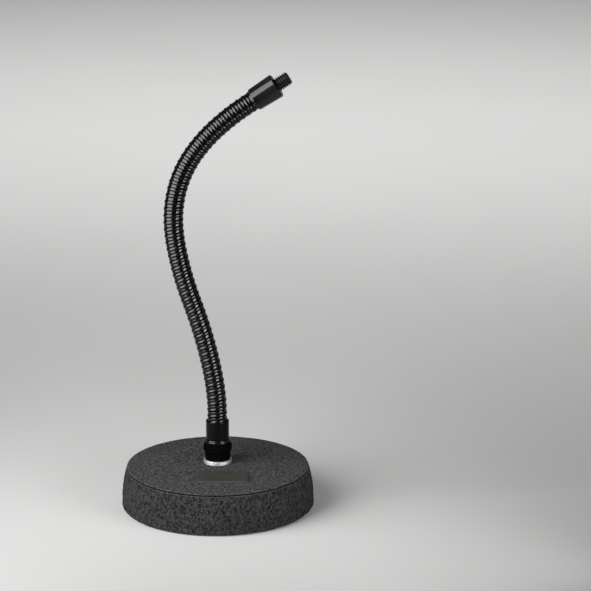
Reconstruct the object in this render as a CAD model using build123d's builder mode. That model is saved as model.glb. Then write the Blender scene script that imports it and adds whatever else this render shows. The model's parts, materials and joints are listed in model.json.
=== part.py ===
from build123d import *
import math
import os

# Desktop microphone stand: a round cast-iron base that carries a 300 mm gooseneck with a threaded stud on its end.
# Millimetres, +Z up. The origin is on the table under the middle of the base. The neck bends in the XZ plane at rest.

# Base casting
base_diameter = 130.0
base_height = 30.0  # table to the seat of the neck, at the middle of the top face
rim_height = 28.4  # the top face falls away to this at its edge
seat_diameter = 24.0
side_foot = 5.0  # height at which the side stops being upright
side_crown = 75.0  # radius of the side's curve above that
top_round = 1.0
rim_width = 11.0
plate_thickness = 12.0
boss_diameter = 38.0
boss_depth = 5.0  # how far the boss hangs below the plate
hollow_round = 3.0
edge_round = 0.8
crease_fall = 1.35  # from the top face's edge down to the groove that runs round under it
crease_width = 0.8
crease_depth = 0.7

# Rubber ring under the rim
ring_proud = 1.0
ring_sunk = 2.0
ring_width = 7.0
ring_margin = 1.5  # from the casting's outer edge
seat_gap = 0.05  # round each piece that is pushed into another

# Badge plate on the top face, in front of the neck
badge_width = 34.0
badge_depth = 20.0
badge_thickness = 0.9
badge_sunk = 0.4
badge_corner = 2.0
badge_round = 0.4
badge_x = 4.0
badge_y = -30.0
badge_gap = 0.15

# Foot fitting: 5/8 inch thread down through the base, with its washers and nut
foot_thread_diameter = 15.875
thread_gap = 0.15
thread_end_chamfer = 0.8
thread_below_nut = 1.2
shank_diameter = 16.9
shank_height = 4.6
bead_diameter = 19.1
bead_under_height = 2.0
bead_side_height = 3.0
bead_slope_height = 2.7
bead_lip_diameter = 17.3
bead_lip_height = 0.9
bead_neck_diameter = 16.4
bead_neck_height = 0.9
bead_round = 1.2
bead_lip_round = 0.4
zinc_ring_diameter = 19.1
zinc_ring_thickness = 2.7
zinc_ring_chamfer = 0.5
flat_washer_diameter = 30.0
flat_washer_thickness = 1.6
lock_washer_diameter = 25.0
lock_washer_thickness = 2.5
lock_washer_slit = 2.0
nut_across_flats = 22.2
nut_thickness = 5.0
nut_chamfer = 0.8

# Gooseneck
neck_length = 300.0  # base's top face to the stud's end, along the neck
neck_diameter = 13.5
round_wire_diameter = 3.25
wedge_recess = 0.4  # how far the wedge wire's face lies inside the neck's diameter
wedge_flank = 30.0  # degrees between the wedge wire's flank and the neck's radius
wedge_tip_width = 0.4
wire_gap = 0.05
wire_pitch = 4.42  # one turn of both wires, before it is fitted to a whole number of links
end_turns = 2  # turns at each end that stay with the ferrule or the collar
hidden_turns = 2  # turns held inside the ferrule, and inside the collar
link_turns = 3

# Rest bend of the flexible part, as arcs from its foot. A turn is in degrees, positive towards +X, and the last
# arc runs on to the neck's end at the same curvature.
rest_arc_lengths = [35.0, 50.0, 45.0, 30.0, 30.0, 25.0, 27.9]
rest_arc_turns = [-11.0, -9.0, 12.0, 21.0, 23.0, 13.0, 8.0]

# Lower ferrule, top collar and top stud
ferrule_wall = 0.95
ferrule_length = 13.0
ferrule_lip_round = 0.5
bore_gap = 0.1  # round the neck, inside the ferrule and the collar
plug_gap = 0.2  # round a plug inside the neck
plug_end_gap = 0.3  # between a plug's shoulder and the first turn of wire
collar_rear_wall = 0.75
collar_flare = 0.65  # what its radius gains from its rear end to its front
collar_length = 17.8
collar_front_wall = 5.0
collar_rear_round = 0.5
collar_front_chamfer = 0.6
stud_diameter = 9.525  # 3/8 inch
stud_length = 9.5
stud_shank_diameter = 10.2  # where it passes through the collar's front wall
stud_chamfer = 1.0
stud_flange_thickness = 2.0

# Worked out
base_radius = base_diameter / 2
casting_bottom = ring_proud
plate_underside = base_height - plate_thickness
boss_underside = plate_underside - boss_depth
hollow_radius = base_radius - rim_width
side_rise = rim_height - side_foot
top_radius = base_radius - side_crown + math.sqrt(side_crown**2 - side_rise**2)
crease_height = rim_height - crease_fall
crease_radius = base_radius - side_crown + math.sqrt(side_crown**2 - (crease_height - side_foot) ** 2)
foot_bore_radius = foot_thread_diameter / 2 + thread_gap
shank_bottom = base_height + zinc_ring_thickness
bead_bottom = shank_bottom + shank_height
bead_side_bottom = bead_bottom + bead_under_height
bead_side_top = bead_side_bottom + bead_side_height
bead_lip_bottom = bead_side_top + bead_slope_height
bead_lip_top = bead_lip_bottom + bead_lip_height
ferrule_bottom = bead_lip_top + bead_neck_height
neck_foot = ferrule_bottom + ferrule_length
flexible_length = neck_length - (neck_foot - base_height) - collar_length - stud_length
link_count = round((flexible_length / wire_pitch - 2 * end_turns) / link_turns)
pitch = flexible_length / (2 * end_turns + link_count * link_turns)
neck_radius = neck_diameter / 2
wire_radius = round_wire_diameter / 2
coil_radius = neck_radius - wire_radius
neck_bore_radius = neck_radius + bore_gap
inner_plug_radius = coil_radius - wire_radius - plug_gap
outer_plug_radius = neck_bore_radius - seat_gap
collar_rear_radius = neck_bore_radius + collar_rear_wall
collar_front_radius = collar_rear_radius + collar_flare
hidden_length = hidden_turns * pitch
washer_bottom = boss_underside - flat_washer_thickness
lock_bottom = washer_bottom - lock_washer_thickness
nut_bottom = lock_bottom - nut_thickness
thread_bottom = nut_bottom - thread_below_nut

os.makedirs("parts", exist_ok=True)


def save(part, name):
    part.label = name
    export_step(part, f"parts/{name}.step")


def circles_at(circles, radius, height):
    """The circles of one radius at one height, which are the corners of an upright turned piece."""
    return circles.filter_by(
        lambda e: abs(e.radius - radius) < 0.01 and abs(e.center().Z - height) < 0.01
    )


# The neck's route


def heading_at(station):
    """Lean of the neck at a length along its flexible part, in degrees from +Z towards +X."""
    lean = 0.0
    left = station
    last_arc = len(rest_arc_lengths) - 1
    for arc, (length, turn) in enumerate(zip(rest_arc_lengths, rest_arc_turns)):
        covered = max(left, 0.0) if arc == last_arc else min(max(left, 0.0), length)
        lean += turn * covered / length
        left -= length
    return lean


def neck_plane(foot, lean):
    """Half-section plane of a straight stretch of neck: X is the radius and Y runs up the neck's axis."""
    tilt = math.radians(lean)
    return Plane(origin=foot, x_dir=(math.cos(tilt), 0, -math.sin(tilt)), z_dir=(0, -1, 0))


def up_axis(plane):
    return Axis(plane.origin, plane.y_dir)


# The foot stretch stands upright, each link leans as the curve does at its middle, and the tip as at its end.
link_length = link_turns * pitch
foot_length = end_turns * pitch
foot_plane = neck_plane((0, 0, neck_foot), 0.0)
link_planes = []
joint_point = foot_plane.origin + foot_plane.y_dir * foot_length
joint_points = [joint_point]
leans = [0.0]
for link in range(link_count):
    lean = heading_at(foot_length + (link + 0.5) * link_length)
    plane = neck_plane(joint_point, lean)
    link_planes.append(plane)
    leans.append(lean)
    joint_point = joint_point + plane.y_dir * link_length
    joint_points.append(joint_point)
tip_lean = heading_at(flexible_length)
tip_plane = neck_plane(joint_point, tip_lean)
leans.append(tip_lean)
tip_length = end_turns * pitch

# Base

groove_outer = base_radius - ring_margin
groove_inner = groove_outer - ring_width

# The badge lies on the top face, which is part of a large sphere, so it leans forward a little.
top_fall = base_height - rim_height
top_reach = top_radius - seat_diameter / 2
top_sphere = (top_reach**2 + top_fall**2) / (2 * top_fall)
badge_reach = math.hypot(badge_x, badge_y) - seat_diameter / 2
badge_lean = badge_reach / top_sphere
badge_height = base_height - badge_reach**2 / (2 * top_sphere)
badge_normal = (0, -math.sin(badge_lean), math.cos(badge_lean))
badge_face = Plane(origin=(badge_x, badge_y, badge_height), x_dir=(1, 0, 0), z_dir=badge_normal)
badge_floor = badge_face.offset(-badge_sunk)
badge_axis = Axis(badge_face.origin, badge_normal)

with BuildPart() as base_casting:
    with BuildSketch(Plane.XZ):
        with BuildLine():
            side = Line((base_radius, casting_bottom), (base_radius, side_foot))
            crown = TangentArc(side @ 1, (top_radius, rim_height), tangent=(0, 1))
            top_face = TangentArc((seat_diameter / 2, base_height), crown @ 1, tangent=(1, 0))
            Polyline(
                top_face @ 0,
                (foot_bore_radius, base_height),
                (foot_bore_radius, boss_underside),
                (boss_diameter / 2, boss_underside),
                (boss_diameter / 2, plate_underside),
                (hollow_radius, plate_underside),
                (hollow_radius, casting_bottom),
                side @ 0,
            )
        make_face()
    revolve(axis=Axis.Z)
    circles = base_casting.edges().filter_by(GeomType.CIRCLE)
    fillet(circles_at(circles, top_radius, rim_height), top_round)
    fillet(circles_at(circles, hollow_radius, plate_underside), hollow_round)
    fillet(circles_at(circles, boss_diameter / 2, plate_underside), hollow_round)
    fillet(circles_at(circles, base_radius, casting_bottom), edge_round)
    with BuildSketch(Plane.XZ):
        with BuildLine():
            Polyline(
                (crease_radius - crease_depth, crease_height),
                (crease_radius + crease_depth, crease_height - crease_width),
                (crease_radius + crease_depth, crease_height + crease_width),
                close=True,
            )
        make_face()
    revolve(axis=Axis.Z, mode=Mode.SUBTRACT)
    with BuildSketch(Plane.XY.offset(casting_bottom)):
        Circle(groove_outer + seat_gap)
        Circle(groove_inner - seat_gap, mode=Mode.SUBTRACT)
    extrude(amount=ring_sunk, mode=Mode.SUBTRACT)
    with BuildSketch(badge_floor):
        RectangleRounded(badge_width + 2 * badge_gap, badge_depth + 2 * badge_gap, badge_corner + badge_gap)
    extrude(amount=badge_thickness, mode=Mode.SUBTRACT)
save(base_casting.part, "base_casting")

with BuildPart() as rubber_ring:
    with BuildSketch(Plane.XY):
        Circle(groove_outer)
        Circle(groove_inner, mode=Mode.SUBTRACT)
    extrude(amount=ring_proud + ring_sunk)
    fillet(rubber_ring.edges().group_by(Axis.Z)[0], ring_proud / 2)
save(rubber_ring.part, "rubber_ring")

with BuildPart() as badge_plate:
    with BuildSketch(badge_floor):
        RectangleRounded(badge_width, badge_depth, badge_corner)
    extrude(amount=badge_thickness)
    fillet(badge_plate.faces().sort_by(badge_axis)[-1].edges(), badge_round)
save(badge_plate.part, "badge_plate")

# Foot fitting and what holds it

with BuildPart() as foot_fitting:
    with BuildSketch(Plane.XZ):
        with BuildLine():
            Polyline(
                (0, thread_bottom),
                (foot_thread_diameter / 2 - thread_end_chamfer, thread_bottom),
                (foot_thread_diameter / 2, thread_bottom + thread_end_chamfer),
                (foot_thread_diameter / 2, shank_bottom),
                (shank_diameter / 2, shank_bottom),
                (shank_diameter / 2, bead_bottom),
                (bead_diameter / 2, bead_side_bottom),
                (bead_diameter / 2, bead_side_top),
                (bead_lip_diameter / 2, bead_lip_bottom),
                (bead_lip_diameter / 2, bead_lip_top),
                (bead_neck_diameter / 2, bead_lip_top),
                (bead_neck_diameter / 2, ferrule_bottom),
                (outer_plug_radius, ferrule_bottom),
                (outer_plug_radius, neck_foot - hidden_length - plug_end_gap),
                (inner_plug_radius, neck_foot - hidden_length - plug_end_gap),
                (inner_plug_radius, neck_foot),
                (0, neck_foot),
                close=True,
            )
        make_face()
    revolve(axis=Axis.Z)
    circles = foot_fitting.edges().filter_by(GeomType.CIRCLE)
    fillet(circles_at(circles, bead_diameter / 2, bead_side_top), bead_round)
    fillet(circles_at(circles, bead_diameter / 2, bead_side_bottom), bead_round)
    fillet(circles_at(circles, bead_lip_diameter / 2, bead_lip_top), bead_lip_round)
    fillet(circles_at(circles, bead_neck_diameter / 2, ferrule_bottom), bead_lip_round)
save(foot_fitting.part, "foot_fitting")

with BuildPart() as zinc_ring:
    with BuildSketch(Plane.XY.offset(base_height)):
        Circle(zinc_ring_diameter / 2)
        Circle(foot_bore_radius, mode=Mode.SUBTRACT)
    extrude(amount=zinc_ring_thickness)
    outer_top = zinc_ring.edges().group_by(Axis.Z)[-1].sort_by(SortBy.RADIUS)[-1]
    chamfer(outer_top, zinc_ring_chamfer)
save(zinc_ring.part, "zinc_ring")

with BuildPart() as flat_washer:
    with BuildSketch(Plane.XY.offset(washer_bottom)):
        Circle(flat_washer_diameter / 2)
        Circle(foot_bore_radius, mode=Mode.SUBTRACT)
    extrude(amount=flat_washer_thickness)
save(flat_washer.part, "flat_washer")

with BuildPart() as lock_washer:
    with BuildSketch(Plane.XY.offset(lock_bottom)):
        Circle(lock_washer_diameter / 2)
        Circle(foot_bore_radius, mode=Mode.SUBTRACT)
        with Locations((lock_washer_diameter / 2, 0)):
            Rectangle(lock_washer_diameter, lock_washer_slit, mode=Mode.SUBTRACT)
    extrude(amount=lock_washer_thickness)
save(lock_washer.part, "lock_washer")

with BuildPart() as base_nut:
    with BuildSketch(Plane.XY.offset(nut_bottom)):
        RegularPolygon(nut_across_flats / 2, 6, major_radius=False)
        Circle(foot_bore_radius, mode=Mode.SUBTRACT)
    extrude(amount=nut_thickness)
    with BuildSketch(Plane.XZ):
        with BuildLine():
            corner_radius = nut_across_flats / math.sqrt(3)
            Polyline(
                (corner_radius - nut_chamfer, nut_bottom),
                (corner_radius + nut_chamfer, nut_bottom),
                (corner_radius + nut_chamfer, nut_bottom + nut_chamfer),
                close=True,
            )
        make_face()
    revolve(axis=Axis.Z, mode=Mode.SUBTRACT)
save(base_nut.part, "base_nut")

with BuildPart() as lower_ferrule:
    with BuildSketch(Plane.XY.offset(ferrule_bottom)):
        Circle(neck_bore_radius + ferrule_wall)
        Circle(neck_bore_radius, mode=Mode.SUBTRACT)
    extrude(amount=ferrule_length)
    lip = lower_ferrule.edges().group_by(Axis.Z)[-1].sort_by(SortBy.RADIUS)[-1]
    fillet(lip, ferrule_lip_round)
save(lower_ferrule.part, "lower_ferrule")

# Gooseneck


def wedge_half_width(radius):
    """Half the wedge wire's width at a radius: its flank clears the round wire beside it by wire_gap all the way."""
    reach = wire_radius + wire_gap
    flank = math.radians(wedge_flank)
    tangent_radius = coil_radius + reach * math.sin(flank)
    tangent_half_width = pitch / 2 - reach * math.cos(flank)
    return tangent_half_width + (radius - tangent_radius) * math.tan(flank)


wedge_outer = neck_radius - wedge_recess
wedge_outer_half = wedge_half_width(wedge_outer)
wedge_inner = wedge_outer - (wedge_outer_half - wedge_tip_width / 2) / math.tan(math.radians(wedge_flank))


def neck_turns(plane, first, count, name):
    """Writes one stretch of neck: count turns of round wire, and the turns of wedge wire in the grooves between.

    first is the number of pitches from the plane's origin to the stretch's lower end.
    """
    with BuildPart() as round_wire:
        with BuildSketch(plane):
            with Locations([(coil_radius, (first + turn + 0.5) * pitch) for turn in range(count)]):
                Circle(wire_radius)
        revolve(axis=up_axis(plane))
    save(round_wire.part, f"round_wire_{name}")
    with BuildPart() as wedge_wire:
        with BuildSketch(plane):
            for groove in range(1, count):
                middle = (first + groove) * pitch
                with BuildLine():
                    Polyline(
                        (wedge_inner, middle - wedge_tip_width / 2),
                        (wedge_outer, middle - wedge_outer_half),
                        (wedge_outer, middle + wedge_outer_half),
                        (wedge_inner, middle + wedge_tip_width / 2),
                        close=True,
                    )
                make_face()
        revolve(axis=up_axis(plane))
    save(wedge_wire.part, f"wedge_wire_{name}")


neck_turns(foot_plane, -hidden_turns, hidden_turns + end_turns, "foot")
for link, plane in enumerate(link_planes, start=1):
    neck_turns(plane, 0, link_turns, f"{link:02d}")
neck_turns(tip_plane, 0, end_turns + hidden_turns, "tip")

# Top collar and stud

collar_rear = tip_length
collar_front = collar_rear + collar_length
flange_front = collar_front - collar_front_wall
flange_rear = flange_front - stud_flange_thickness

with BuildPart() as top_collar:
    with BuildSketch(tip_plane) as collar_section:
        with BuildLine():
            Polyline(
                (neck_bore_radius, collar_rear),
                (collar_rear_radius, collar_rear),
                (collar_front_radius, collar_front - collar_front_chamfer),
                (collar_front_radius - collar_front_chamfer, collar_front),
                (stud_shank_diameter / 2 + seat_gap, collar_front),
                (stud_shank_diameter / 2 + seat_gap, flange_front),
                (neck_bore_radius, flange_front),
                close=True,
            )
        make_face()
        rear_corner = collar_section.vertices().sort_by_distance((collar_rear_radius, collar_rear))[0]
        fillet(rear_corner, collar_rear_round)
    revolve(axis=up_axis(tip_plane))
save(top_collar.part, "top_collar")

with BuildPart() as top_stud:
    with BuildSketch(tip_plane):
        with BuildLine():
            Polyline(
                (0, collar_rear),
                (inner_plug_radius, collar_rear),
                (inner_plug_radius, flange_rear),
                (outer_plug_radius, flange_rear),
                (outer_plug_radius, flange_front),
                (stud_shank_diameter / 2, flange_front),
                (stud_shank_diameter / 2, collar_front),
                (stud_diameter / 2, collar_front),
                (stud_diameter / 2, collar_front + stud_length - stud_chamfer),
                (stud_diameter / 2 - stud_chamfer, collar_front + stud_length),
                (0, collar_front + stud_length),
                close=True,
            )
        make_face()
    revolve(axis=up_axis(tip_plane))
save(top_stud.part, "top_stud")
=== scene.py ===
import bpy
import json
import math
from mathutils import Matrix, Vector


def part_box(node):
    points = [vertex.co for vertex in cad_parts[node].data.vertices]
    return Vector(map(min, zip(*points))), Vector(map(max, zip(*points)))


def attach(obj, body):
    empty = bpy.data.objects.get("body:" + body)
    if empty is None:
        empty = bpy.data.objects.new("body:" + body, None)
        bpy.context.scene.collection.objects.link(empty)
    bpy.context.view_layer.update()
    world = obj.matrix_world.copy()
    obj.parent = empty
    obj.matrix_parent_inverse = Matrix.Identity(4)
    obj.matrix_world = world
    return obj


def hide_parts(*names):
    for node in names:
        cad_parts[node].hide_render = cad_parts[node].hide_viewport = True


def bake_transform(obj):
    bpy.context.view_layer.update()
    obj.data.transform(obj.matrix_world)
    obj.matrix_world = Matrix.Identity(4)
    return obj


# Desktop microphone stand: a textured cast base, a turned foot fitting, a gooseneck of two wires wound
# together, and a collar with a threaded stud. Metres, in the frame's own axes. At rest the neck bends in
# the XZ plane.

mm = 0.001
onAxis = 1e-7  # a turned ring narrower than this is one point
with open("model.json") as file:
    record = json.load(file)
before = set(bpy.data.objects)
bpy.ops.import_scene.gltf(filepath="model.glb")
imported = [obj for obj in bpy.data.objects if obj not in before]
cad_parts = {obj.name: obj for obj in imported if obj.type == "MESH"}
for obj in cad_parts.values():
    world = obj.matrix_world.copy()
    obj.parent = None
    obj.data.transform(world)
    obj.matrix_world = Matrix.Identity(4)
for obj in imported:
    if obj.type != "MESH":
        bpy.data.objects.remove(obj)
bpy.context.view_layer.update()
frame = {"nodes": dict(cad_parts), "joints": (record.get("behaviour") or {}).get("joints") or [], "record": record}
nodes = frame["nodes"]
joints = frame["joints"]
scene = bpy.context.scene
scene.view_settings.view_transform = "Standard"


# Node trees are written with short helpers, so that a tree reads as a list of steps.

def makeTree(kind, name, inputs, outputs):
    tree = bpy.data.node_groups.new(name, kind)
    for label, (socketType, value) in inputs.items():
        socket = tree.interface.new_socket(label, in_out="INPUT", socket_type="NodeSocket" + socketType)
        if value is not None:
            socket.default_value = value
    for label, socketType in outputs.items():
        tree.interface.new_socket(label, in_out="OUTPUT", socket_type="NodeSocket" + socketType)
    return tree, tree.nodes.new("NodeGroupInput").outputs, tree.nodes.new("NodeGroupOutput").inputs


def addNode(tree, nodeType, inputs, **settings):
    node = tree.nodes.new(nodeType)
    for key, value in settings.items():
        setattr(node, key, value)
    for key, value in inputs.items():
        if isinstance(value, bpy.types.NodeSocket):
            tree.links.new(value, node.inputs[key])
        else:
            node.inputs[key].default_value = value
    return node


def calc(tree, operation, *values):
    return addNode(tree, "ShaderNodeMath", dict(enumerate(values)), operation=operation).outputs[0]


def vectorCalc(tree, operation, *values):
    inputs = dict(enumerate(values))
    if operation == "SCALE":
        inputs = {0: values[0], "Scale": values[1]}
    node = addNode(tree, "ShaderNodeVectorMath", inputs, operation=operation)
    return node.outputs["Value" if operation == "LENGTH" else "Vector"]


def joinVector(tree, **parts):
    return addNode(tree, "ShaderNodeCombineXYZ", parts).outputs[0]


def splitVector(tree, vector):
    return addNode(tree, "ShaderNodeSeparateXYZ", {0: vector}).outputs


def ramp(tree, value, low, high, toLow=0.0, toHigh=1.0):
    inputs = {"Value": value, "From Min": low, "From Max": high, "To Min": toLow, "To Max": toHigh}
    return addNode(tree, "ShaderNodeMapRange", inputs, interpolation_type="SMOOTHSTEP").outputs["Result"]


def noise(tree, vector, scale, detail, breakup):
    inputs = {"Vector": vector, "Scale": scale, "Detail": detail, "Roughness": breakup}
    return addNode(tree, "ShaderNodeTexNoise", inputs).outputs[0]


def mixColors(tree, factor, first, second):
    return addNode(tree, "ShaderNodeMix", {0: factor, 6: first, 7: second}, data_type="RGBA").outputs[2]


def mixValues(tree, factor, first, second):
    return addNode(tree, "ShaderNodeMix", {0: factor, 2: first, 3: second}, data_type="FLOAT").outputs[0]


def gray(level):
    return (level, level, level, 1.0)


# Shader groups that several finishes share. A span is the texture values taken as 0 and as 1.

grainShape = {
    "span": (0.28, 0.72),
    "grainDetail": 3.0,
    "patchDetail": 4.0,
    "breakup": 0.6,
    "pitSmooth": 0.4,
    "pitReach": 0.28,
    "grainShare": 0.55,
    "patchShare": 0.45,
    "toneSpan": (0.12, 0.88),
    "roughness": (0.85, 0.6),
}
handledShape = {
    "smudgeDetail": 3.0,
    "smudgeBreakup": 0.6,
    "smudgeSpan": (0.42, 0.7),
    "scratchDetail": 2.0,
    "scratchBreakup": 0.7,
    "scratchSpan": (0.35, 0.65),
    "leastWear": 0.4,
    "scratchHeight": 0.3,
}
edgeWearShape = {"detail": 4.0, "breakup": 0.65, "span": (0.38, 0.62), "leastWear": 0.25}


def makeGrainGroup():
    g = grainShape
    tree, given, result = makeTree(
        "ShaderNodeTree", "powderGrain",
        {
            "Vector": ("Vector", None),
            "Grain": ("Float", 900.0),
            "Patch": ("Float", 250.0),
            "Pit Size": ("Float", 500.0),
            "Pit Depth": ("Float", 0.5),
            "Dark": ("Color", gray(0.04)),
            "Light": ("Color", gray(0.08)),
        },
        {"Color": "Color", "Roughness": "Float", "Height": "Float"},
    )
    where = given["Vector"]
    grain = ramp(tree, noise(tree, where, given["Grain"], g["grainDetail"], g["breakup"]), *g["span"])
    patch = ramp(tree, noise(tree, where, given["Patch"], g["patchDetail"], g["breakup"]), *g["span"])
    inputs = {"Vector": where, "Scale": given["Pit Size"], "Smoothness": g["pitSmooth"]}
    cells = addNode(tree, "ShaderNodeTexVoronoi", inputs, feature="SMOOTH_F1").outputs["Distance"]
    pits = calc(tree, "MULTIPLY", ramp(tree, cells, g["pitReach"], 0.0), given["Pit Depth"])
    grainPart = calc(tree, "MULTIPLY", grain, g["grainShare"])
    patchPart = calc(tree, "MULTIPLY", patch, g["patchShare"])
    height = calc(tree, "SUBTRACT", calc(tree, "ADD", grainPart, patchPart), pits)
    shade = ramp(tree, height, *g["toneSpan"])
    tree.links.new(mixColors(tree, shade, given["Dark"], given["Light"]), result["Color"])
    tree.links.new(ramp(tree, grain, 0.0, 1.0, *g["roughness"]), result["Roughness"])
    tree.links.new(height, result["Height"])
    return tree


def makeHandledGroup():
    h = handledShape
    tree, given, result = makeTree(
        "ShaderNodeTree", "handledMetal",
        {
            "Vector": ("Vector", None),
            "Smudge": ("Float", 90.0),
            "Scratch": ("Float", 1600.0),
            "Clean Roughness": ("Float", 0.08),
            "Worn Roughness": ("Float", 0.2),
            "Color A": ("Color", gray(0.01)),
            "Color B": ("Color", gray(0.02)),
        },
        {"Color": "Color", "Roughness": "Float", "Height": "Float"},
    )
    clouds = noise(tree, given["Vector"], given["Smudge"], h["smudgeDetail"], h["smudgeBreakup"])
    smudge = ramp(tree, clouds, *h["smudgeSpan"])
    scratch = noise(tree, given["Vector"], given["Scratch"], h["scratchDetail"], h["scratchBreakup"])
    worn = calc(tree, "MULTIPLY", smudge, ramp(tree, scratch, *h["scratchSpan"], h["leastWear"], 1.0))
    roughness = mixValues(tree, worn, given["Clean Roughness"], given["Worn Roughness"])
    height = calc(tree, "ADD", calc(tree, "MULTIPLY", scratch, h["scratchHeight"]), smudge)
    tree.links.new(roughness, result["Roughness"])
    tree.links.new(mixColors(tree, worn, given["Color A"], given["Color B"]), result["Color"])
    tree.links.new(height, result["Height"])
    return tree


def makeEdgeWearGroup():
    e = edgeWearShape
    tree, given, result = makeTree(
        "ShaderNodeTree", "edgeWear",
        {
            "Vector": ("Vector", None),
            "Edge": ("Float", 0.0),
            "Breakup": ("Float", 1200.0),
            "Amount": ("Float", 0.5),
            "Color": ("Color", gray(0.01)),
            "Worn Color": ("Color", gray(0.1)),
            "Roughness": ("Float", 0.1),
            "Worn Roughness": ("Float", 0.3),
        },
        {"Color": "Color", "Roughness": "Float"},
    )
    flakes = noise(tree, given["Vector"], given["Breakup"], e["detail"], e["breakup"])
    broken = ramp(tree, flakes, *e["span"], e["leastWear"], 1.0)
    worn = calc(tree, "MULTIPLY", calc(tree, "MULTIPLY", given["Edge"], broken), given["Amount"])
    worn = calc(tree, "MINIMUM", worn, 1.0)
    tree.links.new(mixColors(tree, worn, given["Color"], given["Worn Color"]), result["Color"])
    tree.links.new(mixValues(tree, worn, given["Roughness"], given["Worn Roughness"]), result["Roughness"])
    return tree


grainGroup = makeGrainGroup()
handledGroup = makeHandledGroup()
edgeWearGroup = makeEdgeWearGroup()


# Materials. Their dictionaries hold the groups' own inputs.

castPaint = {
    "specular": 0.02,
    # top and side have different grains; the top's lighter colours are painted light from above, on the same paint
    # as the side
    "top": {
        "Grain": 1500.0, "Patch": 560.0, "Pit Size": 800.0, "Pit Depth": 0.2,
        "Dark": gray(0.009), "Light": gray(0.081),
    },
    "side": {
        "Grain": 1500.0, "Patch": 540.0, "Pit Size": 850.0, "Pit Depth": 0.35,
        "Dark": gray(0.003), "Light": gray(0.034),
    },
    "sideSlant": 35.0,
    "sideSquash": 0.72,
    # painted shade: a darker colour for the crease below the rim, standing in for shade in the groove
    "creaseShadeColor": gray(0.004),
    "creaseShadeFull": 0.5,
    "bump": 0.9,
    "bumpDepth": 0.35 * mm,
}
rubberSkin = {
    "grain": {
        "Grain": 1800.0, "Patch": 400.0, "Pit Size": 900.0, "Pit Depth": 0.1,
        "Dark": gray(0.015), "Light": gray(0.032),
    },
    "bump": 0.4,
    "bumpDepth": 0.1 * mm,
}
blackLacquer = {
    "handled": {"Smudge": 60.0, "Scratch": 2200.0, "Color A": gray(0.0005), "Color B": gray(0.0012)},
    "edges": {"Breakup": 1500.0, "Worn Color": gray(0.06), "Worn Roughness": 0.3},
    "coatRoughness": 0.08,
    "bump": 0.05,
    "bumpDepth": 0.02 * mm,
}
blackFinishes = {
    "blackGloss": {"wear": 0.2, "clean": 0.09, "rubbed": 0.14, "specular": 0.28},
    "blackSatin": {"wear": 0.05, "clean": 0.12, "rubbed": 0.2, "specular": 0.07},
    "blackMatte": {"wear": 0.03, "clean": 0.4, "rubbed": 0.5, "specular": 0.0},
    "blackThread": {"wear": 0.4, "clean": 0.24, "rubbed": 0.4, "specular": 0.2},
    "roundWire": {"wear": 0.2, "clean": 0.08, "rubbed": 0.14, "specular": 0.30},
    "wedgeWire": {"wear": 0.2, "clean": 0.08, "rubbed": 0.14, "specular": 0.28},
}
zincPlate = {
    "handled": {
        "Smudge": 700.0, "Scratch": 2500.0, "Clean Roughness": 0.48, "Worn Roughness": 0.6,
        "Color A": (0.50, 0.50, 0.493, 1.0), "Color B": (0.26, 0.26, 0.256, 1.0),
    },
    "bump": 0.25,
    "bumpDepth": 0.05 * mm,
}
badgeSheet = {
    "specular": 0.12,
    "brushing": (0.06, 1.0, 1.0),
    "handled": {
        "Smudge": 500.0, "Scratch": 6000.0, "Clean Roughness": 0.36, "Worn Roughness": 0.48,
        "Color A": (0.032, 0.029, 0.025, 1.0), "Color B": (0.046, 0.042, 0.036, 1.0),
    },
    "bump": 0.2,
    "bumpDepth": 0.02 * mm,
}


def startMaterial(name, fixed):
    material = bpy.data.materials.new(name)
    material.use_nodes = True
    tree = material.node_tree
    tree.nodes.clear()
    shader = addNode(tree, "ShaderNodeBsdfPrincipled", fixed)
    addNode(tree, "ShaderNodeOutputMaterial", {"Surface": shader.outputs[0]})
    where = addNode(tree, "ShaderNodeTexCoord", {}).outputs["Object"]
    return material, tree, shader, where


def useGroup(tree, group, inputs):
    return addNode(tree, "ShaderNodeGroup", inputs, node_tree=group).outputs


def attribute(tree, name):
    return addNode(tree, "ShaderNodeAttribute", {}, attribute_name=name).outputs["Fac"]


def linkSkin(tree, shader, color, roughness, height, setup):
    tree.links.new(color, shader.inputs["Base Color"])
    tree.links.new(roughness, shader.inputs["Roughness"])
    inputs = {"Height": height, "Strength": setup["bump"], "Distance": setup["bumpDepth"]}
    tree.links.new(addNode(tree, "ShaderNodeBump", inputs).outputs[0], shader.inputs["Normal"])


def makeCastIron():
    c = castPaint
    material, tree, shader, where = startMaterial("castIron", {"Specular IOR Level": c["specular"]})
    slanted = addNode(tree, "ShaderNodeMapping", {
        "Vector": where,
        "Rotation": (0.0, math.radians(c["sideSlant"]), 0.0),
        "Scale": (1.0, 1.0, c["sideSquash"]),
    }).outputs[0]
    top = useGroup(tree, grainGroup, {"Vector": where, **c["top"]})
    side = useGroup(tree, grainGroup, {"Vector": slanted, **c["side"]})
    onSide = attribute(tree, "side")
    # painted light: the top's grain is mixed in lighter than the side's, as if lit from above
    grainWithPaintedTopLight = mixColors(tree, onSide, top["Color"], side["Color"])
    # painted shade: along the crease the colour is darkened towards creaseShadeColor
    shadowed = ramp(tree, attribute(tree, "crease"), 0.0, c["creaseShadeFull"])
    color = mixColors(tree, shadowed, grainWithPaintedTopLight, c["creaseShadeColor"])
    roughness = mixValues(tree, onSide, top["Roughness"], side["Roughness"])
    linkSkin(tree, shader, color, roughness, mixValues(tree, onSide, top["Height"], side["Height"]), c)
    return material


def makeRubber():
    material, tree, shader, where = startMaterial("rubber", {})
    skin = useGroup(tree, grainGroup, {"Vector": where, **rubberSkin["grain"]})
    linkSkin(tree, shader, skin["Color"], skin["Roughness"], skin["Height"], rubberSkin)
    return material


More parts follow.
